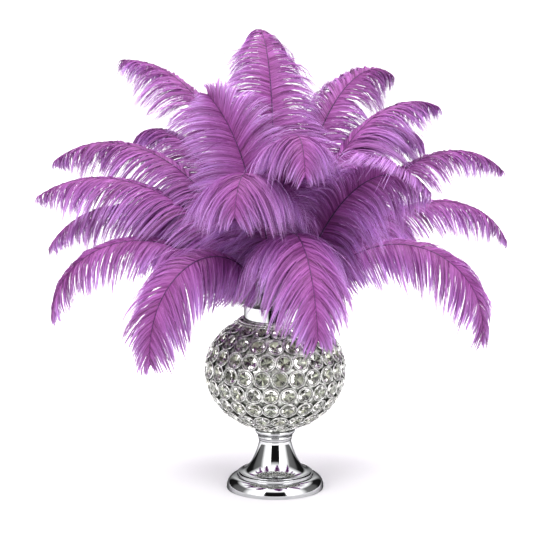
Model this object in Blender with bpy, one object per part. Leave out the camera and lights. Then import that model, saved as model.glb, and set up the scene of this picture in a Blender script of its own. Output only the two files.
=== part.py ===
"""Bouquet of dyed ostrich feathers standing in a crystal globe vase on a turned chrome pedestal.

Metres, +Z up. The origin is the centre of the pedestal's flat underside, and -Y is the front.
Every feather is one solid: a quill in the foam, a tapering rachis that arches over, and a vane
parted into pointed locks that hang from both of its sides.
"""

import math
from collections import namedtuple

import bpy
import numpy as np
from mathutils.bvhtree import BVHTree

MM = 0.001
GAP = 0.3 * MM  # left between two pieces that touch

# Pedestal and vase
TURNED_STEPS = 28
BASE_RADIUS = 51.5 * MM
BASE_TOP_RADIUS = 40.6 * MM
BASE_TOP = 17.2 * MM
STEM_FOOT_RADIUS = 38.4 * MM
STEM_WAIST_RADIUS = 17.2 * MM
STEM_FLARE_RADIUS = 24.5 * MM  # across the oval that the stem's flare follows
STEM_FLARE_CENTRE = 81.3 * MM  # height of that oval's centre
STEM_TOP = 52.7 * MM
CUP_LIP_RADIUS = 21.4 * MM
CUP_TOP = 64.7 * MM

GLOBE_CENTRE = 129 * MM
GLOBE_RADIUS = 75.6 * MM
GLOBE_RISE = 62 * MM  # from its centre to its top, if the neck did not cut it off
GLOBE_DROP = 66 * MM
GLOBE_SEAT_RADIUS = 19 * MM
CRYSTAL_PITCH = 18.6 * MM
CRYSTAL_RAISE = 3.2 * MM  # from the joint between crystals to the top of one
CRYSTAL_ROWS = 8
LOWEST_ROW = -59  # degrees of latitude
HIGHEST_ROW = 54
SHELL_DEPTH = 5.5 * MM  # from the crystals' tops to the inside of the shell
SHELL_STEPS = 16
SHELL_ROWS = 7

COLLAR_RADIUS = 33 * MM
COLLAR_BORE = 31 * MM
COLLAR_FOOT = 185.5 * MM
COLLAR_TOP = 200 * MM
FOAM_FOOT = 176 * MM
FOAM_TOP = 196.5 * MM

# Feathers
QUILL_MEET = 169 * MM  # height of the point on the axis that all the quills point away from
QUILL_START = 22 * MM  # from that point to a quill's cut end
STRAIGHT = 45 * MM  # of each quill, from its cut end
QUILL_HALF_WIDTH = 1.15 * MM
QUILL_HALF_DEPTH = 1.0 * MM
RACHIS_TAPER = 0.7
VANE_START = 0.14  # share of a feather's length
VANE_END = 0.93
LOCKS = 11  # on each side of a vane
WEB = 0.5  # share of a lock's length that is joined to its neighbours
RIDGE = 0.65  # share of a lock's length at which it is thickest
LOCK_HALF_DEPTH = 0.55 * MM
TIP_OVERHANG = 3 * MM  # of the last lock past the end of the rachis
BARB_STEPS = 12
SLANT_EASING = 8  # degrees that a lock's slant loses evenly on the way to the tip
SLANT_CLOSING = 32  # and those that it loses mostly near the tip
CLOSING_GROWTH = 3
FOOT_LOCK = 0.72  # share of the longest lock's length, at the foot of the vane
TIP_LOCK = 0.18  # and at its tip
TIP_GROWTH = 2.4
CURL = 0.45  # how far a lock curls towards the hollow side of its feather
SAG_ACROSS = 3.2  # how far it sags square to the vane, where it is limp
SAG_ALONG = 1.0  # and in the vane's own plane, where it is stiff
ACROSS_GROWTH = 1.4  # over 1 where a lock starts off straight
ALONG_GROWTH = 1.2
SHORTEST = 0.1  # share of its length that a lock keeps where it meets other feathers
SHORTENING = 0.88
ROUNDS = 60
TEST_MARGIN = 0.45 * MM

# heading: degrees round from +X, 90 at the back; sway: how far the heading turns by the tip;
# rise: the quill's slope in degrees; droop: how far the slope has turned by the tip;
# bend: over 1 where the droop comes late; twist: degrees the vane is rolled on its rachis;
# slant: degrees between lock and rachis at the vane's foot; length, to the tip, and barb, the
# longest lock, in millimetres
Feather = namedtuple("Feather", "name heading sway rise droop bend twist slant length barb")
FEATHERS = [
    Feather("low_feather_1", -79, 0, 72, 149, 0.9, 0, 68, 308, 72),
    Feather("low_feather_2", -136, 4, 61, 159, 0.9, -28, 66, 268, 62),
    Feather("low_feather_3", -24, 0, 49, 149, 1.4, 22, 64, 308, 56),
    Feather("low_feather_4", -166, -13, 48, 136, 1.4, -25, 58, 296, 50),
    Feather("low_feather_5", 4, 10, 50, 117, 1.9, 14, 60, 298, 46),
    Feather("low_feather_6", 168, -8, 53, 112, 1.4, -16, 60, 298, 50),
    Feather("low_feather_7", 52, 0, 50, 140, 1.5, 0, 68, 300, 74),
    Feather("low_feather_8", 74, -5, 55, 130, 1.5, 0, 68, 320, 76),
    Feather("low_feather_9", 93, 0, 49, 150, 1.4, 0, 68, 300, 78),
    Feather("low_feather_10", 125, 5, 49, 135, 1.5, 0, 68, 290, 76),
    Feather("middle_feather_1", -112, 14, 77, 149, 2, 0, 72, 280, 80),
    Feather("middle_feather_2", -40, -14, 62, 92, 2.0, -68, 58, 298, 64),
    Feather("middle_feather_3", 180, -13, 60, 95, 1.4, -12, 60, 310, 58),
    Feather("middle_feather_4", 166, -8, 66, 105, 1.6, -12, 60, 333, 58),
    Feather("middle_feather_5", 24, 8, 53, 99, 2.1, 12, 57, 341, 44),
    Feather("middle_feather_6", 147, -21, 64, 110, 2.5, 0, 62, 300, 56),
    Feather("middle_feather_7", 112, 5, 57, 125, 1.6, 0, 68, 310, 76),
    Feather("middle_feather_8", 102, -8, 66, 125, 1.8, 0, 68, 285, 80),
    Feather("middle_feather_9", 40, 5, 66, 113, 2.2, 0, 64, 311, 66),
    Feather("middle_feather_10", 135, 0, 58, 120, 1.7, 0, 68, 260, 70),
    Feather("top_feather_1", -72, -12, 82, 155, 2.4, 0, 76, 311, 66),
    Feather("top_feather_2", 176, 0, 81, 32, 2.6, -86, 66, 243, 66),
    Feather("top_feather_3", 95, 5, 86, 100, 3.0, 0, 78, 349, 66),
    Feather("top_feather_4", 52, 3, 73, 102, 2.3, 28, 58, 357, 62),
    Feather("top_feather_5", 30, 6, 70, 97, 2.2, 0, 54, 325, 58),
    Feather("top_feather_6", 122, 18, 68, 75, 1.8, 0, 60, 375, 60),
]


def clear_scene():
    for thing in list(bpy.data.objects):
        bpy.data.objects.remove(thing, do_unlink=True)


def linear(share):
    return share / 12.92 if share <= 0.04045 else ((share + 0.055) / 1.055) ** 2.4


def finish(name, colour, roughness, metallic=0.0):
    """A plain material from a colour given as red, green and blue out of 255."""
    material = bpy.data.materials.new(name)
    material.use_nodes = True
    shader = material.node_tree.nodes["Principled BSDF"]
    shader.inputs["Base Color"].default_value = [linear(c / 255) for c in colour] + [1]
    shader.inputs["Roughness"].default_value = roughness
    shader.inputs["Metallic"].default_value = metallic
    material.diffuse_color = shader.inputs["Base Color"].default_value
    return material


def solid(name, points, faces, material, smooth_below=None):
    """A mesh object, with faces that meet at less than smooth_below degrees shaded smooth."""
    mesh = bpy.data.meshes.new(name)
    mesh.from_pydata([tuple(p) for p in points], [], [tuple(f) for f in faces])
    mesh.materials.append(material)
    if smooth_below is not None:
        mesh.shade_smooth()
        mesh.set_sharp_from_angle(angle=math.radians(smooth_below))
    thing = bpy.data.objects.new(name, mesh)
    bpy.context.scene.collection.objects.link(thing)
    return thing


# ---------------------------------------------------------------- pedestal and collar


def arc(centre, radii, start, end, steps):
    """Points on an elliptical arc, from start to end in degrees, as (radius, height) pairs."""
    turns = np.radians(np.linspace(start, end, steps))
    return list(
        zip(centre[0] + radii[0] * np.cos(turns), centre[1] + radii[1] * np.sin(turns))
    )


def turned(name, outline, material, closed_loop=False):
    """A body turned about +Z. The outline runs up the outside, as (radius, height) pairs;
    it is closed across the axis, or back to its first point where closed_loop is set."""
    turns = np.arange(TURNED_STEPS) * 2 * math.pi / TURNED_STEPS
    points = [(r * math.cos(a), r * math.sin(a), z) for r, z in outline for a in turns]
    rings = len(outline)
    faces = []
    for ring in range(rings if closed_loop else rings - 1):
        low, high = ring * TURNED_STEPS, (ring + 1) % rings * TURNED_STEPS
        for step in range(TURNED_STEPS):
            after = (step + 1) % TURNED_STEPS
            faces.append((low + step, low + after, high + after, high + step))
    if not closed_loop:
        faces.append(range(TURNED_STEPS - 1, -1, -1))
        faces.append(range((rings - 1) * TURNED_STEPS, rings * TURNED_STEPS))
    return solid(name, points, faces, material, smooth_below=35)


def make_pedestal(chrome):
    dome = arc(
        (BASE_TOP_RADIUS, 2 * MM),
        (BASE_RADIUS - BASE_TOP_RADIUS, BASE_TOP - 5 * MM),
        0,
        90,
        6,
    )
    step = [(BASE_TOP_RADIUS - 0.2 * MM, BASE_TOP)]
    turned("foot_base", [(BASE_RADIUS, 0)] + dome + step, chrome)

    sweep = arc(
        (STEM_FOOT_RADIUS, STEM_FLARE_CENTRE),
        (STEM_FLARE_RADIUS, STEM_FLARE_CENTRE - BASE_TOP - 1.5 * MM),
        -90,
        -150,
        7,
    )
    stem = [(STEM_FOOT_RADIUS, BASE_TOP + GAP)] + sweep + [(STEM_WAIST_RADIUS, STEM_TOP)]
    turned("foot_stem", stem, chrome)

    cup = [
        (17.5 * MM, STEM_TOP + GAP),
        (18.4 * MM, 56.5 * MM),
        (20.6 * MM, 60.2 * MM),
        (CUP_LIP_RADIUS, 62.2 * MM),
        (CUP_LIP_RADIUS - 0.4 * MM, CUP_TOP),
    ]
    turned("foot_cup", cup, chrome)


def make_collar(chrome):
    outline = [
        (COLLAR_BORE, COLLAR_TOP - 0.6 * MM),
        (COLLAR_BORE, COLLAR_FOOT),
        (COLLAR_RADIUS, COLLAR_FOOT),
        (COLLAR_RADIUS, COLLAR_TOP - 0.6 * MM),
        (COLLAR_RADIUS - 0.6 * MM, COLLAR_TOP),
        (COLLAR_BORE + 0.6 * MM, COLLAR_TOP),
    ]
    return turned("neck_collar", outline, chrome, closed_loop=True)


# ---------------------------------------------------------------- crystal globe


def on_globe(latitude, turn, depth=0.0):
    """Points of the globe's oval skin, in radians of latitude and turn, taken in by depth."""
    tall = np.where(latitude > 0, GLOBE_RISE, GLOBE_DROP) - depth
    across = (GLOBE_RADIUS - depth) * np.cos(latitude)
    return np.stack(
        [
            across * np.cos(turn),
            across * np.sin(turn),
            GLOBE_CENTRE + tall * np.sin(latitude),
        ],
        axis=-1,
    )


def stitched(low_count, low_shift, high_count, high_shift):
    """Triangles between two rings of crystals, as (row, place) corners. Whichever ring's next
    crystal comes round first is taken next, so that the triangles stay close to equal."""
    triangles = []
    low = high = 0
    while low < low_count or high < high_count:
        next_low = (low + 1 + low_shift) / low_count
        next_high = (high + 1 + high_shift) / high_count
        if high == high_count or (low < low_count and next_low <= next_high):
            triangles.append(((0, low), (0, low + 1), (1, high)))
            low += 1
        else:
            triangles.append(((0, low), (1, high + 1), (1, high)))
            high += 1
    return triangles


def make_globe(material):
    """A shell set all over with crystals. Each crystal is a low pyramid: its top is on the
    globe's oval, and its corners are shared with the crystals round it."""
    latitudes = np.radians(np.linspace(LOWEST_ROW, HIGHEST_ROW, CRYSTAL_ROWS))
    girths = 2 * math.pi * GLOBE_RADIUS * np.cos(latitudes)
    counts = np.round(girths / CRYSTAL_PITCH).astype(int)
    shifts = 0.5 * (np.arange(CRYSTAL_ROWS) % 2)
    points, faces = [], []

    def add(point):
        points.append(point)
        return len(points) - 1

    rows = [
        [
            add(on_globe(latitude, 2 * math.pi * (place + shift) / count))
            for place in range(count)
        ]
        for latitude, count, shift in zip(latitudes, counts, shifts)
    ]

    def joint(corners):
        """The low point between three crystals."""
        middle = np.mean([points[c] for c in corners], axis=0)
        across = math.hypot(middle[0], middle[1])
        tall = GLOBE_RISE if middle[2] > GLOBE_CENTRE else GLOBE_DROP
        latitude = math.atan2((middle[2] - GLOBE_CENTRE) / tall, across / GLOBE_RADIUS)
        return add(on_globe(latitude, math.atan2(middle[1], middle[0]), CRYSTAL_RAISE))

    # Every edge between two crystals has a joint on both sides.
    joints = {}

    def note(corners, low_point):
        for first, second in zip(corners, corners[1:] + corners[:1]):
            joints[first, second] = low_point

    for lower in range(CRYSTAL_ROWS - 1):
        upper = lower + 1
        pattern = stitched(counts[lower], shifts[lower], counts[upper], shifts[upper])
        for corners in pattern:
            ring = [rows[lower + row][place % counts[lower + row]] for row, place in corners]
            note(ring, joint(ring))

    def edge_ring(row, radius, height, facing_up):
        """The shell's edge round its neck or its seat: one point above or below each gap."""
        places = range(counts[row])
        turn = 2 * math.pi / counts[row]
        edge = []
        for place in places:
            angle = turn * (place + 0.5 + shifts[row])
            edge.append(add((radius * math.cos(angle), radius * math.sin(angle), height)))
            here, after = rows[row][place], rows[row][(place + 1) % counts[row]]
            joints[(after, here) if not facing_up else (here, after)] = edge[-1]
        for place in places:
            before, here = edge[place - 1], edge[place]
            crystal = rows[row][place]
            faces.append((crystal, here, before) if facing_up else (crystal, before, here))
        return edge

    neck_radius = COLLAR_RADIUS + 0.6 * MM
    neck = edge_ring(CRYSTAL_ROWS - 1, neck_radius, COLLAR_FOOT - GAP, facing_up=True)
    seat = edge_ring(0, GLOBE_SEAT_RADIUS, CUP_TOP + GAP, facing_up=False)
    for (first, second), low_point in joints.items():
        if (second, first) in joints:
            faces.append((first, joints[second, first], low_point))

    # The smooth inside, from the neck's mouth down to a flat floor.
    mouth = COLLAR_BORE + 0.3 * MM
    inner_top = math.acos(mouth / (GLOBE_RADIUS - SHELL_DEPTH))
    inner_floor = -math.acos(16 * MM / (GLOBE_RADIUS - SHELL_DEPTH))
    turns = np.arange(SHELL_STEPS) * 2 * math.pi / SHELL_STEPS
    lip = [
        add((mouth * math.cos(a), mouth * math.sin(a), COLLAR_FOOT - GAP)) for a in turns
    ]
    inner = [lip]
    for latitude in np.linspace(inner_top, inner_floor, SHELL_ROWS):
        inner.append([add(on_globe(latitude, a, SHELL_DEPTH)) for a in turns])
    for upper, lower in zip(inner, inner[1:]):
        for step in range(SHELL_STEPS):
            after = (step + 1) % SHELL_STEPS
            faces.append((upper[step], upper[after], lower[after], lower[step]))
    faces.append(inner[-1])
    faces.append(seat[::-1])

    # The flat ring round the mouth, between the neck's edge and the lip.
    count = len(neck)
    shift = 0.5 + shifts[CRYSTAL_ROWS - 1]
    for corners in stitched(count, shift, SHELL_STEPS, 0):
        ring = [neck, lip]
        faces.append([ring[row][place % len(ring[row])] for row, place in corners])
    return solid("crystal_globe", points, faces, material)


# ---------------------------------------------------------------- feathers


def frame_at(feather, share):
    """Points of a feather's rachis at shares of its length, and there its direction, the
    direction across its vane, and the direction square to the vane on its arched side."""
    length = feather.length * MM
    twist = math.radians(feather.twist)
    fine = np.linspace(0, 1, 161)

    def directions(s):
        past = np.clip((s * length - STRAIGHT) / (length - STRAIGHT), 0, 1)
        slope = np.radians(feather.rise - feather.droop * past**feather.bend)
        heading = np.radians(feather.heading + feather.sway * past)
        level = np.stack([np.cos(heading), np.sin(heading), 0 * heading], axis=-1)
        upright = np.array([0, 0, 1.0])
        slope = slope[..., None]
        along = np.cos(slope) * level + np.sin(slope) * upright
        across = np.stack([-np.sin(heading), np.cos(heading), 0 * heading], axis=-1)
        arched = np.cos(slope) * upright - np.sin(slope) * level
        turned_across = math.cos(twist) * across + math.sin(twist) * arched
        turned_arched = math.cos(twist) * arched - math.sin(twist) * across
        return along, turned_across, turned_arched

    along = directions(fine)[0]
    steps = (along[1:] + along[:-1]) / 2 * (length / (len(fine) - 1))
    places = np.vstack([np.zeros(3), np.cumsum(steps, axis=0)])
    places += np.array([0, 0, QUILL_MEET]) + QUILL_START * along[0]
    share = np.atleast_1d(np.asarray(share, float))
    point = np.stack([np.interp(share, fine, places[:, k]) for k in range(3)], axis=-1)
    return point, *directions(share)


def barb_length(feather, share):
    """Longest in the middle of the vane, shorter at its foot and shortest at its tip."""
    v = (share - VANE_START) / (1 - VANE_START)
    lower = FOOT_LOCK + (1 - FOOT_LOCK) * np.sin(np.pi * np.clip(v, 0, 0.5))
    upper = 1 - (1 - TIP_LOCK) * np.clip(2 * v - 1, 0, None) ** TIP_GROWTH
    return feather.barb * MM * np.minimum(lower, upper)


def barb_point(feather, share, side, reach, at):
    """The point at a share of a barb's length. A barb leaves the rachis slanting forwards,
    curls towards the hollow side, and sags, more square to the vane than along it."""
    point, along, across, arched = (x[0] for x in frame_at(feather, share))
    v = np.clip((share - VANE_START) / (1 - VANE_START), 0, 1)
    slant = math.radians(feather.slant - SLANT_EASING * v - SLANT_CLOSING * v**CLOSING_GROWTH)
    start = math.cos(slant) * along + side * math.sin(slant) * across
    down = np.array([0, 0, -1.0])
    sag_across = (down @ arched) * arched
    fall = SAG_ACROSS * sag_across - CURL * arched
    bow = SAG_ALONG * (down - sag_across)
    u = (np.arange(BARB_STEPS) + 0.5)[:, None] / BARB_STEPS * at * reach
    steps = start + u**ACROSS_GROWTH * fall + u**ALONG_GROWTH * bow
    steps /= np.linalg.norm(steps, axis=1)[:, None]
    length = float(barb_length(feather, share)) * at * reach
    half_width = QUILL_HALF_WIDTH * (1 - RACHIS_TAPER * share)
    return point + side * half_width * across + steps.mean(axis=0) * length


def feather_mesh(feather, reach, margin=0.0):
    """Corners and triangles of a feather, and for each triangle the (side, lock) that it
    belongs to. reach holds the share of its length that each lock keeps, by side and lock.
    With a margin, the locks are that much thicker and longer, to test for clearance."""
    stations = np.linspace(VANE_START, VANE_END, LOCKS + 1)
    quill = np.array([0, VANE_START / 2])
    shares = np.concatenate([quill, stations])
    spine, along, across, arched = frame_at(feather, shares)
    taper = (1 - RACHIS_TAPER * shares)[:, None]
    depth = QUILL_HALF_DEPTH * taper * arched
    width = QUILL_HALF_WIDTH * taper * across
    points, faces, owners = [], [], []

    def add(point):
        points.append(point)
        return len(points) - 1

    def face(corners, side, owner):
        faces.append(corners if side > 0 else corners[::-1])
        owners.append(owner)

    top = [add(p) for p in spine + depth]
    bottom = [add(p) for p in spine - depth]
    ends = {}
    for side, column in ((1, 0), (-1, 1)):
        edge = [add(p) for p in (spine + side * width)[: len(quill)]]
        for station, share in enumerate(stations):
            nearby = reach[max(station - 1, 0) : station + 1, column].min()
            if station == 0:
                edge.append(add(spine[len(quill)] + side * width[len(quill)]))
            else:
                edge.append(add(barb_point(feather, share, side, nearby, WEB)))
        for k in range(len(quill)):
            face((top[k], top[k + 1], edge[k + 1], edge[k]), side, None)
            face((bottom[k], edge[k], edge[k + 1], bottom[k + 1]), side, None)
        for lock in range(LOCKS):
            k = lock + len(quill)
            share = (stations[lock] + stations[lock + 1]) / 2
            kept = reach[lock, column]
            square = frame_at(feather, share)[3][0]
            ridge = barb_point(feather, share, side, kept, RIDGE)
            half_depth = LOCK_HALF_DEPTH + margin
            high = add(ridge + half_depth * square)
            low = add(ridge - half_depth * square)
            longer = 1 + margin / (10 * MM)
            tip = add(barb_point(feather, share, side, kept, longer))
            owner = (lock, column)
            face((top[k], top[k + 1], high), side, owner)
            face((top[k], high, edge[k]), side, owner)
            face((top[k + 1], edge[k + 1], high), side, owner)
            face((edge[k], high, tip), side, owner)
            face((edge[k + 1], tip, high), side, owner)
            face((bottom[k + 1], bottom[k], low), side, owner)
            face((low, bottom[k], edge[k]), side, owner)
            face((edge[k + 1], bottom[k + 1], low), side, owner)
            face((low, edge[k], tip), side, owner)
            face((tip, edge[k + 1], low), side, owner)
        ends[side] = edge
    end, end_along = (x[0] for x in frame_at(feather, 1)[:2])
    tip = add(end + TIP_OVERHANG * end_along)
    last = (LOCKS - 1, 0)
    for side in (1, -1):
        face((top[-1], tip, ends[side][-1]), side, last)
        face((tip, bottom[-1], ends[side][-1]), side, last)
        face((top[0], ends[side][0], bottom[0]), side, None)
    return np.array(points), faces, owners


def tree_of(meshes):
    """One search tree over several meshes, each given as its corners and faces."""
    points, faces, start = [], [], 0
    for corners, sides in meshes:
        points.extend(map(tuple, corners))
        faces.extend(tuple(start + corner for corner in side) for side in sides)
        start += len(corners)
    return BVHTree.FromPolygons(points, faces, epsilon=0.0)


def make_feathers(material, vase):
    """Shortens each lock that would run into the vase or into another feather, as real barbs
    give way to each other, until it clears them."""
    least = np.full((LOCKS, 2), SHORTEST)
    stubs = {f.name: feather_mesh(f, least, TEST_MARGIN)[:2] for f in FEATHERS}
    placed = []
    for feather in FEATHERS:
        others = [stub for name, stub in stubs.items() if name != feather.name]
        blocked = tree_of(vase + others + placed)
        reach = np.ones((LOCKS, 2))
        for _ in range(ROUNDS):
            points, faces, owners = feather_mesh(feather, reach, TEST_MARGIN)
            locks = [i for i, owner in enumerate(owners) if owner is not None]
            touching = tree_of([(points, [faces[i] for i in locks])]).overlap(blocked)
            met = {owners[locks[here]] for here, _ in touching}
            met = {lock for lock in met if reach[lock] > SHORTEST}
            if not met:
                break
            for lock in met:
                reach[lock] = max(SHORTEST, reach[lock] * SHORTENING)
        points, faces, _ = feather_mesh(feather, reach)
        placed.append((points, faces))
        solid(feather.name, points, faces, material)


# ---------------------------------------------------------------- foam that holds the quills


def make_foam(material):
    """A round plug in the collar, with a hole pushed into it by every quill."""
    radius = COLLAR_BORE - GAP
    outline = [(radius, FOAM_FOOT), (radius, FOAM_TOP - 2 * MM), (radius - 2 * MM, FOAM_TOP)]
    foam = turned("foam_plug", outline, material)
    points, faces = [], []
    for feather in FEATHERS:
        spine, along, across, arched = (x[0] for x in frame_at(feather, 0))
        half_width = (QUILL_HALF_WIDTH + GAP) * across
        half_depth = (QUILL_HALF_DEPTH + GAP) * arched
        first = len(points)
        for place in (spine - GAP * along, spine + 30 * MM * along):
            points += [place + half_depth, place + half_width]
            points += [place - half_depth, place - half_width]
        for k in range(4):
            after = (k + 1) % 4
            faces.append([first + k, first + 4 + k, first + 4 + after, first + after])
        faces.append([first, first + 1, first + 2, first + 3])
        faces.append([first + 7, first + 6, first + 5, first + 4])
    holes = solid("quill_holes", points, faces, material)
    holes.hide_render = True
    holes.display_type = "WIRE"
    cut = foam.modifiers.new("quill holes", "BOOLEAN")
    cut.operation = "DIFFERENCE"
    cut.object = holes


def mesh_of(thing):
    mesh = thing.data
    points = [tuple(v.co) for v in mesh.vertices]
    return points, [tuple(p.vertices) for p in mesh.polygons]


def main():
    clear_scene()
    chrome = finish("polished chrome", (205, 207, 210), 0.08, 1.0)
    crystal = finish("crystal in silver wire", (205, 202, 190), 0.1, 0.35)
    foam = finish("floral foam", (86, 88, 84), 0.95)
    plume = finish("orchid ostrich feather", (172, 98, 184), 0.75)
    make_pedestal(chrome)
    globe = make_globe(crystal)
    collar = make_collar(chrome)
    make_foam(foam)
    make_feathers(plume, [mesh_of(globe), mesh_of(collar)])


main()
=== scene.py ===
from collections import namedtuple

import bpy
import numpy as np
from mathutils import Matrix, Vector


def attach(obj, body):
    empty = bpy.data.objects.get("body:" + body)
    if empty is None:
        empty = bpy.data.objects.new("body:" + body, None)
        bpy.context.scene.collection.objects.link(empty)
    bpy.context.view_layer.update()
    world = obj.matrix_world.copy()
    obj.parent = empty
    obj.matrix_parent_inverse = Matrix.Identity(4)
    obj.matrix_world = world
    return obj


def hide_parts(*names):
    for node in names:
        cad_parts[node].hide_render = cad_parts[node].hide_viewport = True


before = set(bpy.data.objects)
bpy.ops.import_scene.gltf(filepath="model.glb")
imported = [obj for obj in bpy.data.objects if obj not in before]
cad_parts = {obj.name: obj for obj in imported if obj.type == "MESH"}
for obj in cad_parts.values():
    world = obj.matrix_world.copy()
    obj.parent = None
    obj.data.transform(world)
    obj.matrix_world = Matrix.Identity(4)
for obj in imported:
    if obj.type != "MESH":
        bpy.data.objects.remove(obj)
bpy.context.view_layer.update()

MM = 0.001


# ---------------------------------------------------------------- foot
# The foot is spun metal, polished and chrome plated: a domed base, a trumpet stem that stands on the
# base's step ring, and a small flared cup that takes the globe. They screw together on one axis.

TURNED_STEPS = 128


def rounded(corners, radius, steps=5, most=0.45):
    """A profile with its corners eased. Each corner p with neighbours a and b becomes the curve
    (1-t)^2 m + 2t(1-t) p + t^2 n, where m and n lie on the two sides, radius away from p or, on a
    short side, that share of its length which is the most."""
    corners = np.asarray(corners, float)
    before = corners[:-2] - corners[1:-1]
    after = corners[2:] - corners[1:-1]
    near = corners[1:-1] + before * np.minimum(radius / np.linalg.norm(before, axis=1), most)[:, None]
    far = corners[1:-1] + after * np.minimum(radius / np.linalg.norm(after, axis=1), most)[:, None]
    t = np.linspace(0, 1, steps)[None, :, None]
    eased = (1 - t) ** 2 * near[:, None] + 2 * t * (1 - t) * corners[1:-1, None] + t**2 * far[:, None]
    return np.vstack([corners[:1], eased.reshape(-1, 2), corners[-1:]])


def oval_arc(centre, radii, start, end, steps):
    """Points at (cx + rx cos a, cz + rz sin a), with a from start to end in degrees."""
    turns = np.radians(np.linspace(start, end, steps))
    return np.stack([centre[0] + radii[0] * np.cos(turns), centre[1] + radii[1] * np.sin(turns)], -1)


def piece(name, points, faces, material, node, smooth_below=None):
    """A mesh object that rides on the vase and stands for a node. Faces come as arrays of corner
    numbers, one array for each count of corners. Edges sharper than smooth_below degrees show."""
    mesh = bpy.data.meshes.new(name)
    corners = np.concatenate([np.ravel(group) for group in faces])
    counts = np.concatenate([np.full(len(group), group.shape[1]) for group in faces])
    mesh.vertices.add(len(points))
    mesh.vertices.foreach_set("co", np.ravel(points).astype(np.float32))
    mesh.loops.add(len(corners))
    mesh.loops.foreach_set("vertex_index", corners.astype(np.int32))
    mesh.polygons.add(len(counts))
    mesh.polygons.foreach_set("loop_start", (np.cumsum(counts) - counts).astype(np.int32))
    mesh.update(calc_edges=True)
    mesh.materials.append(material)
    mesh.shade_smooth()
    if smooth_below is not None:
        mesh.set_sharp_from_angle(angle=np.radians(smooth_below))
    thing = bpy.data.objects.new(name, mesh)
    bpy.context.scene.collection.objects.link(thing)
    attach(thing, "root")
    if node:
        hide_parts(node)
    return thing


def turned(name, profile, steps, material, node):
    """A turned body: the point at a corner (r, z) of the profile and turn a is (r cos a, r sin a,
    z). The profile runs up the outside from the axis to the axis; its ends become single points."""
    radius, height = np.asarray(profile, float).T
    turn = np.arange(steps) * 2 * np.pi / steps
    ring = np.stack([np.cos(turn), np.sin(turn), 0 * turn], -1)
    grid = radius[1:-1, None, None] * ring + height[1:-1, None, None] * np.array([0, 0, 1.0])
    ends = np.array([[0, 0, height[0]], [0, 0, height[-1]]])
    points = np.vstack([grid.reshape(-1, 3), ends])
    here = np.arange(steps)
    after = (here + 1) % steps
    rows = np.arange(len(radius) - 3)[:, None] * steps
    walls = np.stack([rows + here, rows + after, rows + steps + after, rows + steps + here], -1)
    last = (len(radius) - 3) * steps
    foot = np.stack([after, here, np.full(steps, len(points) - 2)], -1)
    head = np.stack([last + here, last + after, np.full(steps, len(points) - 1)], -1)
    return piece(name, points, [walls.reshape(-1, 4), foot, head], material, node, smooth_below=40)


def finish_of(name, colour, roughness, metallic=0.0):
    """A node material with one principled shader; colour is linear red, green and blue."""
    material = bpy.data.materials.new(name)
    material.use_nodes = True
    shader = material.node_tree.nodes["Principled BSDF"]
    shader.inputs["Base Color"].default_value = [*colour, 1]
    shader.inputs["Roughness"].default_value = roughness
    shader.inputs["Metallic"].default_value = metallic
    return material, material.node_tree, shader


def mottled(tree, scale, detail, low, high, low_at=0.35, high_at=0.65):
    """Soft patches on Object coordinates that run from low, where the noise is low_at or less, to
    high, where it is high_at or more. Low and high are colours or numbers."""
    coordinates = tree.nodes.new("ShaderNodeTexCoord")
    noise = tree.nodes.new("ShaderNodeTexNoise")
    noise.inputs["Scale"].default_value = scale
    noise.inputs["Detail"].default_value = detail
    tree.links.new(coordinates.outputs["Object"], noise.inputs["Vector"])
    if isinstance(low, float):
        spread = tree.nodes.new("ShaderNodeMapRange")
        spread.inputs["From Min"].default_value = low_at
        spread.inputs["From Max"].default_value = high_at
        spread.inputs["To Min"].default_value = low
        spread.inputs["To Max"].default_value = high
        tree.links.new(noise.outputs["Fac"], spread.inputs["Value"])
        return spread.outputs["Result"]
    ramp = tree.nodes.new("ShaderNodeValToRGB")
    ramp.color_ramp.elements[0].position = low_at
    ramp.color_ramp.elements[0].color = [*low, 1]
    ramp.color_ramp.elements[1].position = high_at
    ramp.color_ramp.elements[1].color = [*high, 1]
    tree.links.new(noise.outputs["Fac"], ramp.inputs["Fac"])
    return ramp.outputs["Color"]


chrome, tree, shader = finish_of("polished chrome plate", (0.55, 0.555, 0.565), 0.04, 1.0)
tree.links.new(mottled(tree, 60, 3, (0.52, 0.525, 0.535), (0.6, 0.605, 0.61)), shader.inputs["Base Color"])
tree.links.new(mottled(tree, 140, 4, 0.02, 0.07), shader.inputs["Roughness"])
shader.inputs["Specular Tint"].default_value = (0.05, 0.05, 0.05, 1)

# The profiles' corners are (radius, height) in millimetres.
dome = oval_arc(centre=(40.6, 2), radii=(10.9, 12.2), start=0, end=90, steps=16)
step_ring = [(40.4, 14.6), (40.4, 17.2), (39, 17.2), (0, 17.2)]
base = rounded([(0, 0), (51.2, 0), (51.5, 0.6), *dome, *step_ring], 0.5)
turned("pedestal_base", base * MM, TURNED_STEPS, chrome, "foot_base")

trumpet = oval_arc(centre=(38.4, 81.3), radii=(24.5, 62.6), start=-90, end=-150, steps=28)
stem = rounded([(0, 17.5), (38.4, 17.5), *trumpet, (17.2, 52.7), (0, 52.7)], 0.4)
turned("pedestal_stem", stem * MM, TURNED_STEPS, chrome, "foot_stem")

band = [(17.6, 53), (17.8, 55.2), (18.5, 55.9), (18.5, 57.3), (17.9, 58), (18.6, 58.8)]
flare = [(20.2, 60.2), (21.3, 62), (21.4, 63.4), (20.9, 64.7)]
cup = rounded([(0, 53), *band, *flare, (0, 64.7)], 0.6)
turned("pedestal_cup", cup * MM, TURNED_STEPS, chrome, "foot_cup")


# ---------------------------------------------------------------- silvered shell of the globe
# Under the crystals is a thin hollow oval shell, silvered outside. It sits in the cup, and its round
# mouth carries the neck collar. The crystals' wire rings are soldered to it, crystal by crystal.

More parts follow.
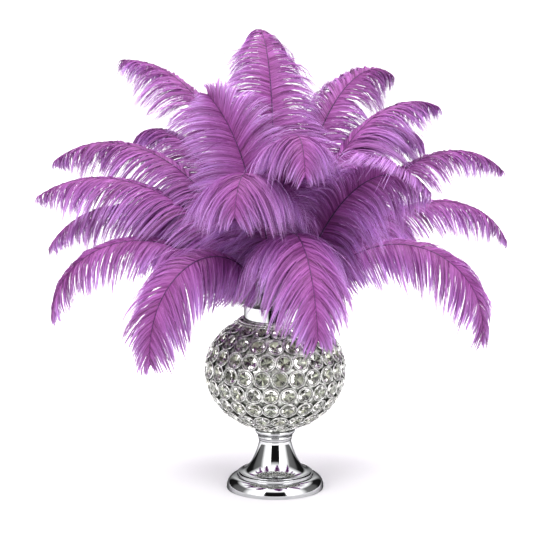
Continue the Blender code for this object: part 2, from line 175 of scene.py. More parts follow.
# The crystals' tops lie on an oval. Its rise and drop are its reach above and below its centre.
GLOBE_CENTRE = 129 * MM
GLOBE_RADIUS = 75.6 * MM
GLOBE_RISE = 62 * MM
GLOBE_DROP = 66 * MM
SHELL_SIDES = 96
OUTSIDE_STEPS = 48
INSIDE_STEPS = 40


def oval(latitude, depth):
    """(radius, height) at a latitude of the globe's oval, depth under its crystals' tops: radius is
    (R - depth) cos lat, and height is C + (T - depth) sin lat, with T taller below than above."""
    tall = np.where(latitude > 0, GLOBE_RISE, GLOBE_DROP) - depth
    return (GLOBE_RADIUS - depth) * np.cos(latitude), GLOBE_CENTRE + tall * np.sin(latitude)


def shell_profile(outer, inner, mouth, lip_height, seat, seat_height):
    """Up the outside of the shell from its seat to its mouth, over the lip, and down the inside.
    Outer and inner are depths under the crystals' tops; the mouth has a radius for each."""
    top = np.arccos(mouth[0] / (GLOBE_RADIUS - outer))
    foot = -np.arccos(seat / (GLOBE_RADIUS - outer))
    outside = np.stack(oval(np.linspace(foot, top, OUTSIDE_STEPS), outer), -1)
    top = np.arccos(mouth[1] / (GLOBE_RADIUS - inner))
    foot = -np.arccos(seat / (GLOBE_RADIUS - inner))
    inside = np.stack(oval(np.linspace(top, foot, INSIDE_STEPS), inner), -1)
    lip = [(mouth[0], lip_height), (mouth[1], lip_height)]
    return np.vstack([[(0, seat_height), (seat, seat_height)], outside, lip, inside, [(0, inside[-1, 1])]])


silver, tree, shader = finish_of("silvered shell", (0.7, 0.69, 0.66), 0.25, 0.3)
tree.links.new(mottled(tree, 300, 3, (0.04, 0.04, 0.036), (1.4, 1.42, 1.32)), shader.inputs["Base Color"])
tree.links.new(mottled(tree, 220, 2, 0.12, 0.3), shader.inputs["Roughness"])

profile = shell_profile(
    outer=5 * MM,
    inner=5.5 * MM,
    mouth=(33.4 * MM, 31.4 * MM),
    lip_height=185.2 * MM,
    seat=19 * MM,
    seat_height=65 * MM,
)
turned("silvered_shell", profile, SHELL_SIDES, silver, "crystal_globe")


# ---------------------------------------------------------------- crystals
# Round clear glass crystals cover the globe in staggered rows, fewer to a row towards its two ends.
# Each is cut with a flat table, a crown of facets and a shallow pointed back, and left see-through.

ROWS = 8
LOWEST_ROW = -59  # degrees of latitude
HIGHEST_ROW = 54
PITCH = 18.6 * MM  # from crystal to crystal in a row
CRYSTAL_RADIUS = 7.1 * MM
CUT_SIDES = 16
TABLE_SHARE = 0.58  # of the crystal's radius


def crystal_places():
    """The centre of every crystal on the oval and three unit directions there, as arrays: round the
    globe, up the globe, and outwards along (cos lat / R, sin lat / T). Every other row is shifted
    by half a crystal."""
    latitudes = np.radians(np.linspace(LOWEST_ROW, HIGHEST_ROW, ROWS))
    counts = np.round(2 * np.pi * GLOBE_RADIUS * np.cos(latitudes) / PITCH).astype(int)
    latitude = np.repeat(latitudes, counts)
    place = np.concatenate([np.arange(count) for count in counts])
    shift = np.repeat(0.5 * (np.arange(ROWS) % 2), counts)
    turn = 2 * np.pi * (place + shift) / np.repeat(counts, counts)
    radius, height = oval(latitude, 0.0)
    level = np.stack([np.cos(turn), np.sin(turn), 0 * turn], -1)
    upright = np.array([0, 0, 1.0])
    centre = radius[:, None] * level + height[:, None] * upright
    tall = np.where(latitude > 0, GLOBE_RISE, GLOBE_DROP)
    outward = (np.cos(latitude) / GLOBE_RADIUS)[:, None] * level
    outward = outward + (np.sin(latitude) / tall)[:, None] * upright
    outward /= np.linalg.norm(outward, axis=1)[:, None]
    around = np.stack([-np.sin(turn), np.cos(turn), 0 * turn], -1)
    return centre, around, np.cross(outward, around), outward


def set_out(shape, places, turns):
    """Copies of one small shape at every place, each turned about its own outward axis: the point
    (x, y, z) goes to centre + x' around + y' up + z outward, with (x', y') the turned (x, y)."""
    centre, around, up, outward = places
    x = shape[:, 0] * np.cos(turns)[:, None] - shape[:, 1] * np.sin(turns)[:, None]
    y = shape[:, 0] * np.sin(turns)[:, None] + shape[:, 1] * np.cos(turns)[:, None]
    points = centre[:, None] + x[..., None] * around[:, None] + y[..., None] * up[:, None]
    return points + shape[None, :, 2, None] * outward[:, None]


def copies(faces, shape, count):
    """The faces of count copies of a small shape, in one array."""
    return (np.arange(count)[:, None, None] * len(shape) + faces[None]).reshape(-1, faces.shape[1])


def cut_crystal(radius, table_depth, girdle_depth, back_depth):
    """A cut crystal facing +Z: an eight-sided table, a ring of sixteen girdle corners, and one
    point behind. Corners lie at (r cos a, r sin a, -depth). Gives the corners, the triangular
    facets and the table."""
    step = 2 * np.pi / CUT_SIDES
    wide = np.arange(CUT_SIDES) * step
    table = np.arange(CUT_SIDES // 2) * 2 * step + step / 2
    girdle = np.stack([radius * np.cos(wide), radius * np.sin(wide), 0 * wide - girdle_depth], -1)
    flat = TABLE_SHARE * radius * np.stack([np.cos(table), np.sin(table)], -1)
    flat = np.column_stack([flat, np.full(len(table), -table_depth)])
    points = np.vstack([girdle, flat, [[0, 0, -back_depth]]])
    k = np.arange(CUT_SIDES // 2)
    crown = CUT_SIDES + k
    next_crown = CUT_SIDES + (k + 1) % (CUT_SIDES // 2)
    kites = np.stack([crown, 2 * k, 2 * k + 1], -1)
    upper = np.stack([crown, 2 * k + 1, next_crown], -1)
    lower = np.stack([next_crown, 2 * k + 1, (2 * k + 2) % CUT_SIDES], -1)
    k = np.arange(CUT_SIDES)
    back = np.stack([(k + 1) % CUT_SIDES, k, np.full(CUT_SIDES, len(points) - 1)], -1)
    return points, np.vstack([kites, upper, lower, back]), crown[None]


glass, tree, shader = finish_of("clear cut crystal", (0.93, 0.92, 0.88), 0.0)
shader.inputs["Transmission Weight"].default_value = 1.0
shader.inputs["IOR"].default_value = 1.54
tree.links.new(mottled(tree, 45, 1, (0.84, 0.82, 0.75), (0.97, 0.97, 0.95)), shader.inputs["Base Color"])

places = crystal_places()
crystals = len(places[0])
spins = np.random.default_rng(seed=3).uniform(0, 2 * np.pi, crystals)
shape, facets, table = cut_crystal(
    CRYSTAL_RADIUS,
    table_depth=0.3 * MM,
    girdle_depth=2.2 * MM,
    back_depth=4.7 * MM,
)
points = set_out(shape, places, spins)
faces = [copies(facets, shape, crystals), copies(table, shape, crystals)]
piece("cut_crystals", points.reshape(-1, 3), faces, glass, "crystal_globe", smooth_below=1)


# ---------------------------------------------------------------- foil backs
# A shallow cone of mirror foil is glued to the back of each crystal, and creased along its facets.
# Each face of the foil is painted its own random grey, from near black to white, as a painted reflection of
# the room, so that the crystals sparkle light and dark.

FOIL_RADIUS = 7.0 * MM
FOIL_RIM_DEPTH = 2.35 * MM
FOIL_POINT_DEPTH = 4.85 * MM
DARKEST_PAINTED_FACET = 0.02
FOIL_TINT = np.array([0.93, 1.0, 0.82])

k = np.arange(CUT_SIDES)
wide = k * 2 * np.pi / CUT_SIDES
rim = np.stack([FOIL_RADIUS * np.cos(wide), FOIL_RADIUS * np.sin(wide), 0 * wide - FOIL_RIM_DEPTH], -1)
shape = np.vstack([rim, [[0, 0, -FOIL_POINT_DEPTH]]])
facets = np.stack([k, (k + 1) % CUT_SIDES, np.full(CUT_SIDES, CUT_SIDES)], -1)
foil, tree, shader = finish_of("mirror foil with painted reflections", (0.55, 0.52, 0.45), 0.2, 0.35)
painted_flash = tree.nodes.new("ShaderNodeAttribute")
painted_flash.attribute_name = "painted_flash"
tree.links.new(painted_flash.outputs["Color"], shader.inputs["Base Color"])
points = set_out(shape, places, spins).reshape(-1, 3)
faces = [copies(facets, shape, crystals)]
backs = piece("foil_backs", points, faces, foil, "crystal_globe", smooth_below=1)

# Painted reflections: each facet of the foil gets its own random grey, from near black to white.
painted_reflection = np.random.default_rng(seed=5).uniform(0, 1, len(backs.data.polygons))
painted_reflection = DARKEST_PAINTED_FACET + painted_reflection**1.9
colours = np.column_stack([painted_reflection[:, None] * FOIL_TINT, np.ones(len(painted_reflection))])
layer = backs.data.attributes.new("painted_flash", "FLOAT_COLOR", "FACE")
layer.data.foreach_set("color", colours.ravel().astype(np.float32))


# ---------------------------------------------------------------- wire rings
# Each crystal sits in a cup painted near black, whose rim shows round the wires as a painted shade, a dark
# outline where the rings would be shadowed. A bezel wire holds its edge, and two more rings of bright
# silver wire stand round that one. Neighbouring rings touch, and are soldered where they do.

CUP_SIDES = 24
CUP_RIMS = ((9.3, 3.2), (9.1, 2.3), (7.0, 2.4))  # radius and depth under the crystals' tops, in mm
RING_SIDES = 20
WIRE_SIDES = 4


def ring_shape(radius, wire, sides, depth):
    """A wire ring: the point at turns a and b is ((R + w cos b) cos a, (R + w cos b) sin a,
    w sin b - depth), with w half the wire's thickness."""
    a = np.arange(sides)[:, None] * 2 * np.pi / sides
    b = (np.arange(WIRE_SIDES)[None] + 0.5) * 2 * np.pi / WIRE_SIDES
    x = (radius + wire * np.cos(b)) * np.cos(a)
    y = (radius + wire * np.cos(b)) * np.sin(a)
    z = wire * np.sin(b) + 0 * a - depth
    points = np.stack([x, y, z], -1).reshape(-1, 3)
    corner = np.arange(WIRE_SIDES)[None]
    here = np.arange(sides)[:, None] * WIRE_SIDES + corner
    after = (np.arange(sides)[:, None] + 1) % sides * WIRE_SIDES + corner
    faces = np.stack([here, after, np.roll(after, -1, axis=1), np.roll(here, -1, axis=1)], -1)
    return points, faces.reshape(-1, 4)


# The cups' near-black colour is painted shade round the crystals' wires.
painted_shade_black, tree, shader = finish_of("blackened metal", (0.03, 0.03, 0.03), 0.35, 0.6)
tree.links.new(mottled(tree, 150, 2, (0.01, 0.01, 0.01), (0.06, 0.058, 0.052)), shader.inputs["Base Color"])
here = np.arange(CUP_SIDES)
after = (here + 1) % CUP_SIDES
turn = here * 2 * np.pi / CUP_SIDES
circle = np.stack([np.cos(turn), np.sin(turn), 0 * turn], -1)
shape = np.vstack([radius * circle - [0, 0, depth] for radius, depth in CUP_RIMS]) * MM
rows = (0, CUP_SIDES)
bands = [np.stack([k + here, k + after, k + CUP_SIDES + after, k + CUP_SIDES + here], -1) for k in rows]
points = set_out(shape, places, np.zeros(crystals)).reshape(-1, 3)
faces = [copies(np.vstack(bands), shape, crystals)]
piece("ring_cups", points, faces, painted_shade_black, "crystal_globe", smooth_below=30)

wire, tree, shader = finish_of("bright silver wire", (0.92, 0.91, 0.88), 0.22, 0.75)
tree.links.new(mottled(tree, 240, 2, (0.5, 0.5, 0.46), (1.0, 1.0, 0.98)), shader.inputs["Base Color"])

for name, radius, half_thick, depth in (
    ("outer_wire_rings", 9.0, 0.4, 1.6),
    ("inner_wire_rings", 8.05, 0.2, 1.75),
    ("bezel_wires", 7.1, 0.26, 1.95),
):
    shape, sides = ring_shape(radius * MM, half_thick * MM, RING_SIDES, depth * MM)
    points = set_out(shape, places, np.zeros(crystals))
    faces = [copies(sides, shape, crystals)]
    piece(name, points.reshape(-1, 3), faces, wire, "crystal_globe")


# ---------------------------------------------------------------- beaded hoops at the neck
# Two wire hoops and a row of small silvered beads lie round the globe's mouth, under the collar,
# and cover the bare shell above the highest crystals. They are soldered to the shell.

HOOPS = ((34.3, 185.0), (40.2, 181.4))  # radius and height in mm
HOOP_SIDES = 96
HOOP_HALF_THICK = 0.55 * MM
BEADS = 82
BEAD_RADIUS = 1.4 * MM
BEAD_ROW_RADIUS = 37.2 * MM
BEAD_ROW_HEIGHT = 182.9 * MM


def bead(radius, sides=8, rows=5):
    """A small ball: points at (r cos a cos b, r sin a cos b, r sin b), closed by a point at each end."""
    a = np.arange(sides) * 2 * np.pi / sides
    b = np.linspace(-np.pi / 2, np.pi / 2, rows + 2)[1:-1, None]
    band = np.stack([np.cos(b) * np.cos(a), np.cos(b) * np.sin(a), np.sin(b) + 0 * a], -1).reshape(-1, 3)
    points = radius * np.vstack([band, [[0, 0, -1], [0, 0, 1]]])
    here, after = np.arange(sides), (np.arange(sides) + 1) % sides
    row = np.arange(rows - 1)[:, None] * sides
    walls = np.stack([row + here, row + after, row + sides + after, row + sides + here], -1)
    last = (rows - 1) * sides
    foot = np.stack([after, here, np.full(sides, len(points) - 2)], -1)
    head = np.stack([last + here, last + after, np.full(sides, len(points) - 1)], -1)
    return points, walls.reshape(-1, 4), np.vstack([foot, head])


hoops = [ring_shape(radius * MM, HOOP_HALF_THICK, HOOP_SIDES, -height * MM) for radius, height in HOOPS]
points = np.vstack([shape for shape, sides in hoops])
faces = [np.vstack([sides + k * len(hoops[0][0]) for k, (shape, sides) in enumerate(hoops)])]
piece("neck_hoops", points, faces, wire, "crystal_globe")

ball, walls, ends = bead(BEAD_RADIUS)
turn = np.arange(BEADS) * 2 * np.pi / BEADS
x, y = BEAD_ROW_RADIUS * np.cos(turn), BEAD_ROW_RADIUS * np.sin(turn)
points = np.stack([x, y, 0 * turn + BEAD_ROW_HEIGHT], -1)[:, None] + ball[None]
faces = [copies(walls, ball, BEADS), copies(ends, ball, BEADS)]
piece("neck_beads", points.reshape(-1, 3), faces, wire, "crystal_globe")


# ---------------------------------------------------------------- neck collar
# A plain ring of polished chrome plate caps the globe's mouth, and the feathers come out through it.
# It is turned from a short tube, with both its rims eased, and pressed on to the shell's lip.

rims = [(31, 185.5), (33, 185.5), (33, 199.7), (32.7, 200), (31.3, 200), (31, 199.7)]
collar = rounded([(31, 192), *rims, (31, 192.01)], 0.5)
here = np.arange(TURNED_STEPS)
after = (here + 1) % TURNED_STEPS
turn = here * 2 * np.pi / TURNED_STEPS
ring = np.stack([np.cos(turn), np.sin(turn), 0 * turn], -1)
points = (collar[:, 0, None, None] * ring + collar[:, 1, None, None] * np.array([0, 0, 1.0])) * MM
rows = np.arange(len(collar))[:, None] * TURNED_STEPS
next_rows = np.roll(rows, -1, axis=0)
faces = np.stack([rows + here, rows + after, next_rows + after, next_rows + here], -1).reshape(-1, 4)
points = points.reshape(-1, 3)
piece("polished_collar", points, [faces], chrome, "neck_collar", smooth_below=40)


# ---------------------------------------------------------------- foam plug
# A plug of crumbly grey floral foam is cut to fill the collar, and the quills are pushed into it. Its
# solid already has their holes, so it is shown as it is, in this material.

foam, tree, shader = finish_of("grey floral foam", (0.1, 0.11, 0.1), 0.95)
tree.links.new(mottled(tree, 300, 6, (0.05, 0.055, 0.05), (0.17, 0.18, 0.16)), shader.inputs["Base Color"])
bump = tree.nodes.new("ShaderNodeBump")
bump.inputs["Distance"].default_value = 1 * MM
tree.links.new(mottled(tree, 500, 6, 0.0, 1.0), bump.inputs["Height"])
tree.links.new(bump.outputs["Normal"], shader.inputs["Normal"])
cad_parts["foam_plug"].material_slots[0].material = foam


# ---------------------------------------------------------------- feathers
# Dyed ostrich plumes. Each is one feather that grew whole: a quill that tapers into the rachis, and
# two rows of long limp barbs, close together as a soft vane that parts into locks at its edge.

QUILL_MEET = 169 * MM  # height at which all the quills point at the axis
QUILL_START = 22 * MM  # from there to the quill's end, in the foam
STRAIGHT = 45 * MM  # length of quill that doesn't bend
QUILL_HALF_WIDTH = 1.15 * MM
QUILL_HALF_DEPTH = 1.0 * MM
RACHIS_TAPER = 0.7  # share of its thickness that is gone at the tip
RACHIS_STEPS = 160
DOWN_START = 0.09  # shares of the length: the down begins, and the vane begins
VANE_START = 0.14
SLANT_EASING = 8  # degrees that barbs close up towards the tip, evenly, and near it
SLANT_CLOSING = 32
CURL = 0.45  # how far a barb curls towards the hollow side of its feather
SAG_ACROSS = 3.2  # how far it sags square to the vane, where it is limp
SAG_ALONG = 1.0  # and in the vane's own plane, where it is stiff
BARB_STEPS = 6
LOCK_WIDTHS = (6, 15)  # narrowest and widest at the rachis, in mm
STRAND_WIDTHS = (0.9, 1.7)
GATHERING = 0.6  # how far barbs close into a strand by their tips, and strands into a lock
LOCK_GATHERING = 0.25
LET_THROUGH = 0.35  # share of the light that passes through a barb
COLLAR_BORE = 31 * MM
COLLAR_TOP = 200 * MM
COLLAR_CLEARANCE = 34.2 * MM  # radius outside which barbs hang beside the collar
COLLAR_SHOULDER = 176 * MM  # height above which they do
VASE_GAP = 1.2 * MM
FOAM_GAP = 1 * MM

# heading: degrees round from +X, 90 at the back; sway: how far the heading turns by the tip;
# rise: the quill's slope in degrees; droop: how far the slope has turned by the tip;
# bend: over 1 where the droop comes late; twist: degrees the vane is rolled on its rachis;
# slant: degrees between barb and rachis at the vane's foot; length, to the tip, and barb, the
# longest barb, in millimetres
Feather = namedtuple("Feather", "name heading sway rise droop bend twist slant length barb")
FEATHERS = [
    Feather("low_feather_1", -79, 0, 72, 149, 0.9, 0, 68, 308, 72),
    Feather("low_feather_2", -136, 4, 61, 159, 0.9, -28, 66, 268, 62),
    Feather("low_feather_3", -24, 0, 49, 149, 1.4, 22, 64, 308, 56),
    Feather("low_feather_4", -166, -13, 48, 136, 1.4, -25, 58, 296, 50),
    Feather("low_feather_5", 4, 10, 50, 117, 1.9, 14, 60, 298, 46),
    Feather("low_feather_6", 168, -8, 53, 112, 1.4, -16, 60, 298, 50),
    Feather("low_feather_7", 52, 0, 50, 140, 1.5, 0, 68, 300, 74),
    Feather("low_feather_8", 74, -5, 55, 130, 1.5, 0, 68, 320, 76),
    Feather("low_feather_9", 93, 0, 49, 150, 1.4, 0, 68, 300, 78),
    Feather("low_feather_10", 125, 5, 49, 135, 1.5, 0, 68, 290, 76),
    Feather("middle_feather_1", -112, 14, 77, 149, 2, 0, 72, 280, 80),
    Feather("middle_feather_2", -40, -14, 62, 92, 2.0, -68, 58, 298, 64),
    Feather("middle_feather_3", 180, -13, 60, 95, 1.4, -12, 60, 310, 58),
    Feather("middle_feather_4", 166, -8, 66, 105, 1.6, -12, 60, 333, 58),
    Feather("middle_feather_5", 24, 8, 53, 99, 2.1, 12, 57, 341, 44),
    Feather("middle_feather_6", 147, -21, 64, 110, 2.5, 0, 62, 300, 56),
    Feather("middle_feather_7", 112, 5, 57, 125, 1.6, 0, 68, 310, 76),
    Feather("middle_feather_8", 102, -8, 66, 125, 1.8, 0, 68, 285, 80),
    Feather("middle_feather_9", 40, 5, 66, 113, 2.2, 0, 64, 311, 66),
    Feather("middle_feather_10", 135, 0, 58, 120, 1.7, 0, 68, 260, 70),
    Feather("top_feather_1", -72, -12, 82, 155, 2.4, 0, 76, 311, 66),
    Feather("top_feather_2", 176, 0, 81, 32, 2.6, -86, 66, 243, 66),
    Feather("top_feather_3", 95, 5, 86, 100, 3.0, 0, 78, 349, 66),
    Feather("top_feather_4", 52, 3, 73, 102, 2.3, 28, 58, 357, 62),
    Feather("top_feather_5", 30, 6, 70, 97, 2.2, 0, 54, 325, 58),
    Feather("top_feather_6", 122, 18, 68, 75, 1.8, 0, 60, 375, 60),
]


def rachis(feather, share):
    """Points of the rachis at shares of its length, and there its direction, the direction across
    the vane and the one square to it on its arched side. With p the share past the straight
    quill, the slope is rise - droop p^bend and the heading is heading + sway p; the points add up
    small steps along (cos slope cos heading, cos slope sin heading, sin slope)."""
    length = feather.length * MM
    twist = np.radians(feather.twist)
    upright = np.array([0, 0, 1.0])

    def directions(s):
        past = np.clip((s * length - STRAIGHT) / (length - STRAIGHT), 0, 1)
        slope = np.radians(feather.rise - feather.droop * past**feather.bend)[..., None]
        heading = np.radians(feather.heading + feather.sway * past)
        level = np.stack([np.cos(heading), np.sin(heading), 0 * heading], axis=-1)
        along = np.cos(slope) * level + np.sin(slope) * upright
        across = np.stack([-np.sin(heading), np.cos(heading), 0 * heading], axis=-1)
        arched = np.cos(slope) * upright - np.sin(slope) * level
        turned_across = np.cos(twist) * across + np.sin(twist) * arched
        return along, turned_across, np.cos(twist) * arched - np.sin(twist) * across

    fine = np.linspace(0, 1, RACHIS_STEPS + 1)
    along = directions(fine)[0]
    steps = (along[1:] + along[:-1]) / 2 * (length / RACHIS_STEPS)
    line = np.vstack([np.zeros(3), np.cumsum(steps, axis=0)])
    line += QUILL_MEET * upright + QUILL_START * along[0]
    point = np.stack([np.interp(share, fine, line[:, k]) for k in range(3)], axis=-1)
    return point, *directions(share)


def barb_length(feather, share):
    """Longest in the middle of the vane: the lower of .72 + .28 sin(pi v) up to its middle, and
    1 - .82 (2v - 1)^2.4 past it, with v the share of the vane passed. The down below is short."""
    v = np.clip((share - VANE_START) / (1 - VANE_START), 0, 1)
    lower = 0.72 + 0.28 * np.sin(np.pi * np.clip(v, 0, 0.5))
    upper = 1 - 0.82 * np.clip(2 * v - 1, 0, None) ** 2.4
    down = 0.3 + 0.7 * np.clip((share - DOWN_START) / (VANE_START - DOWN_START), 0, 1)
    return feather.barb * MM * np.minimum(lower, upper) * down


def barbs(feather, side, share, longer, slant, limp):
    """Curves of barbs, one row each. A barb leaves the rachis slanting forwards, curls towards the
    hollow side and sags: its direction at share u is start + u^1.4 (sag square to the vane - curl)
    + u^1.2 (sag in the vane's own plane, where it is stiff), made one long."""
    point, along, across, arched = rachis(feather, share)
    v = np.clip((share - VANE_START) / (1 - VANE_START), 0, 1)
    angle = np.radians(feather.slant - SLANT_EASING * v - SLANT_CLOSING * v**3 + slant)[:, None]
    start = np.cos(angle) * along + side * np.sin(angle) * across
    down = np.array([0, 0, -1.0])
    sag_across = (arched @ down)[:, None] * arched
    fall = limp[:, None] * SAG_ACROSS * sag_across - CURL * arched
    bow = limp[:, None] * SAG_ALONG * (down - sag_across)
    u = ((np.arange(BARB_STEPS) + 0.5) / BARB_STEPS)[None, :, None]
    steps = start[:, None] + u**1.4 * fall[:, None] + u**1.2 * bow[:, None]
    steps /= np.linalg.norm(steps, axis=-1, keepdims=True)
    steps *= (barb_length(feather, share) * longer / BARB_STEPS)[:, None, None]
    root = point + side * (QUILL_HALF_WIDTH * (1 - RACHIS_TAPER * share))[:, None] * across
    return root[:, None] + np.concatenate([np.zeros_like(steps[:, :1]), np.cumsum(steps, axis=1)], axis=1)


def carried(curves, first):
    """A unit direction square to each curve, carried along it from first with no turning of its
    own, and the curves' unit tangents."""
    tangent = np.gradient(curves, axis=1)
    tangent /= np.linalg.norm(tangent, axis=-1, keepdims=True)
    kept = [first]
    for k in range(tangent.shape[1]):
        square = kept[-1] - np.sum(kept[-1] * tangent[:, k], axis=-1, keepdims=True) * tangent[:, k]
        kept.append(square / np.linalg.norm(square, axis=-1, keepdims=True))
    return np.stack(kept[1:], axis=1), tangent


def clear_of_vase(points):
    """Keeps points a small gap outside the globe's oval by moving them away from its centre, lifts
    those over the foam above the collar's rim, and moves those beside the collar outwards."""
    tall = np.where(points[..., 2] > GLOBE_CENTRE, GLOBE_RISE, GLOBE_DROP) + VASE_GAP
    wide = GLOBE_RADIUS + VASE_GAP
    from_centre = points - np.array([0, 0, GLOBE_CENTRE])
    size = np.stack([np.full(tall.shape, wide), np.full(tall.shape, wide), tall], axis=-1)
    reach = np.linalg.norm(from_centre / size, axis=-1, keepdims=True)
    radius = np.linalg.norm(points[..., :2], axis=-1)
    over_foam = (radius < COLLAR_BORE) & (points[..., 2] < COLLAR_TOP + FOAM_GAP)
    outside = (reach < 1) & ~over_foam[..., None]
    points = np.where(outside, points + from_centre * (1 / np.maximum(reach, 0.2) - 1), points)
    radius = np.linalg.norm(points[..., :2], axis=-1)
    level = (points[..., 2] > COLLAR_SHOULDER) & (points[..., 2] < COLLAR_TOP)
    beside = ~over_foam & level & (radius < COLLAR_CLEARANCE)
    pushed = points[..., :2] * (COLLAR_CLEARANCE / np.maximum(radius, 1 * MM))[..., None]
    points[..., :2] = np.where(beside[..., None], pushed, points[..., :2])
    points[..., 2] = np.where(over_foam, COLLAR_TOP + FOAM_GAP, points[..., 2])
    return points


def groups(low, high, narrowest, widest, chance):
    """Random edges from low to high with steps between narrowest and widest."""
    steps = chance.uniform(narrowest, widest, int((high - low) / narrowest) + 2)
    edges = low + np.concatenate([[0], np.cumsum(steps)])
    return edges[: np.searchsorted(edges, high) + 1]


def eased(low, high, u):
    """3t^2 - 2t^3 with t running from 0 at low to 1 at high."""
    t = np.clip((u - low) / (high - low), 0, 1)
    return t * t * (3 - 2 * t)


def ribbon_corners(curve, edge):
    """Two corners at each step of a curve, edge to either side of it, and one at its tip."""
    pairs = np.stack([curve[:, :-1] - edge[:, :-1], curve[:, :-1] + edge[:, :-1]], axis=2)
    return np.concatenate([pairs.reshape(len(curve), -1, 3), curve[:, -1:]], axis=1)


def ribbon_faces(count, steps, start=0):
    """The quads and the triangle at the tip of count ribbons, whose corners begin at start."""
    first = (start + np.arange(count) * (2 * steps + 1))[:, None]
    rung = first + np.arange(steps - 1) * 2
    last = first + 2 * (steps - 1)
    quads = np.stack([rung, rung + 1, rung + 3, rung + 2], -1)
    return quads.reshape(-1, 4), np.hstack([last, last + 1, last + 2])


def plumage(feather, side, chance):
    """Ribbons of one side: broad soft barbs that cover the vane, and fine wisps over and under
    them. Barbs gather into strands a millimetre or two wide, and strands into locks of 6 to 15: a
    curve is own + c(u) (strand - own) + k(u) (lock - strand), and c and k grow towards the tip.
    Strands and locks lie like slates, each with one edge over the next. Gives the ribbons' corners, and for
    each corner its share along the barb, its tone with painted shade in the troughs between strands and
    locks and painted highlight on the wisps, and how much it is down."""
    length = feather.length
    in_collar = (COLLAR_TOP + 1.5 * MM - QUILL_MEET) / np.sin(np.radians(feather.rise)) - QUILL_START
    bare = in_collar / (length * MM)
    lock_edges = groups(bare * length, length, *LOCK_WIDTHS, chance)
    strand_edges = groups(bare * length, length, *STRAND_WIDTHS, chance)
    lock_share = (lock_edges[:-1] + lock_edges[1:]) / 2 / length
    strand_share = (strand_edges[:-1] + strand_edges[1:]) / 2 / length
    locks, strands = len(lock_share), len(strand_share)
    lock_of = np.clip(np.searchsorted(lock_edges, strand_share * length, side="right") - 1, 0, locks - 1)

    # Locks and strands differ a little in length, slant (in degrees), limpness, height and tint.
    lock_longer = 1 + 0.08 * chance.standard_normal(locks)
    lock_slant = 0.6 * chance.standard_normal(locks)
    lock_limp = np.exp(0.05 * chance.standard_normal(locks))
    strand_longer = lock_longer[lock_of] * (1 + 0.15 * chance.standard_normal(strands))
    strand_slant = lock_slant[lock_of] + 0.4 * chance.standard_normal(strands)
    strand_limp = lock_limp[lock_of] * np.exp(0.04 * chance.standard_normal(strands))
    strand_share, lock_share = np.clip(strand_share, 0, 1), np.clip(lock_share, 0, 1)
    strand_line = barbs(feather, side, strand_share, strand_longer, strand_slant, strand_limp)
    lock_line = barbs(feather, side, lock_share, lock_longer, lock_slant, lock_limp)
    lock_lean = chance.uniform(0.6, 2.2, locks) * MM
    phase = chance.uniform(0, 1, (2, strands))
    waves = chance.uniform(0.5, 1.2, (2, strands))
    height = 0.55 * MM * chance.standard_normal((2, strands))
    lock_tint = 0.06 * chance.standard_normal(locks)
    strand_tint = 0.13 * chance.standard_normal(strands)
    strand_roll = 0.3 * chance.standard_normal(strands)

    u = (np.arange(BARB_STEPS + 1) / BARB_STEPS)[None, :, None]
    made = []
    # Barbs to a millimetre of rachis, half their width, how it thins along them, the share of stray
    # ones, and how far they stand off the vane.
    for per_mm, half, thin, loose, lift in (
        (4.1, 0.4 * MM, 1 - 0.85 * u**2.5, 0.02, 0),
        (1.65, 0.14 * MM, 1 - 0.4 * u, 0.2, 0.4 * MM),
    ):
        count = int(per_mm * length * (1 - bare))
        share = bare + (1 - bare) * (np.arange(count) + chance.uniform(0, 1, count)) / count
        lock = np.searchsorted(lock_edges, share * length, side="right") - 1
        strand = np.searchsorted(strand_edges, share * length, side="right") - 1
        stray = chance.uniform(0, 1, count) < loose
        longer = strand_longer[strand] * (1 + 0.07 * chance.standard_normal(count) + 0.16 * stray)
        slant = strand_slant[strand] + (1 + 9 * stray) * chance.standard_normal(count)
        limp = strand_limp[strand] * np.exp((0.03 + 0.4 * stray) * chance.standard_normal(count))
        own = barbs(feather, side, share, longer, slant, limp)
        held = np.where(stray, 0.2, 1)[:, None, None]
        curve = own + GATHERING * eased(0.4, 1.0, u) * held * (strand_line[strand] - own)
        curve += LOCK_GATHERING * eased(0.6, 1.15, u) * held * (lock_line[lock] - strand_line[strand])

        wide, tangent = carried(curve, rachis(feather, share)[1])
        flat = np.cross(tangent, wide) * side
        in_lock = (share * length - lock_edges[lock]) / (lock_edges[lock + 1] - lock_edges[lock]) - 0.5
        in_strand = share * length - strand_edges[strand]
        in_strand = in_strand / (strand_edges[strand + 1] - strand_edges[strand]) - 0.5
        lean = lock_lean[lock] * in_lock + 0.35 * MM * in_strand
        lean += lift * np.where(chance.uniform(0, 1, count) < 0.35, 1, -1) * chance.uniform(0.5, 1.5, count)
        curve = curve + flat * (lean[:, None, None] * np.sin(np.pi * u))
        for k, direction in enumerate((wide, flat)):
            turns = waves[k][strand][:, None, None] * u + phase[k][strand][:, None, None]
            curve = curve + u * height[k][strand][:, None, None] * np.sin(2 * np.pi * turns) * direction
        curve = clear_of_vase(curve)

        roll = strand_roll[strand] + (0.15 + 0.8 * lift / MM) * chance.standard_normal(count)
        roll = roll[:, None, None] + 0.4 * chance.standard_normal(count)[:, None, None] * u
        edge = half * thin * (np.cos(roll) * wide + np.sin(roll) * flat)
        edge = edge * chance.uniform(0.8, 1.2, count)[:, None, None]
        corners = ribbon_corners(curve, edge)
        passed = np.append(np.repeat(u[0, :-1, 0], 2), 1.0)
        # Painted shade darkens each barb towards the edges of its strand and of its lock, in the troughs
        # between them, and a painted highlight lightens the wisps that stand off the vane; the rest is tone
        # that differs at random.
        tint = 0.6 + lock_tint[lock] + strand_tint[strand] + 0.1 * chance.standard_normal(count)
        tint = tint - 1.1 * in_strand**2 - 0.4 * in_lock**2 + 0.8 * lift / MM
        down = 1 - eased(DOWN_START, 0.15, share)
        numbers = (passed, tint[:, None], down[:, None])
        made.append([corners, *(np.broadcast_to(number, corners.shape[:2]) for number in numbers)])
    return [np.concatenate(parts) for parts in zip(*made)]


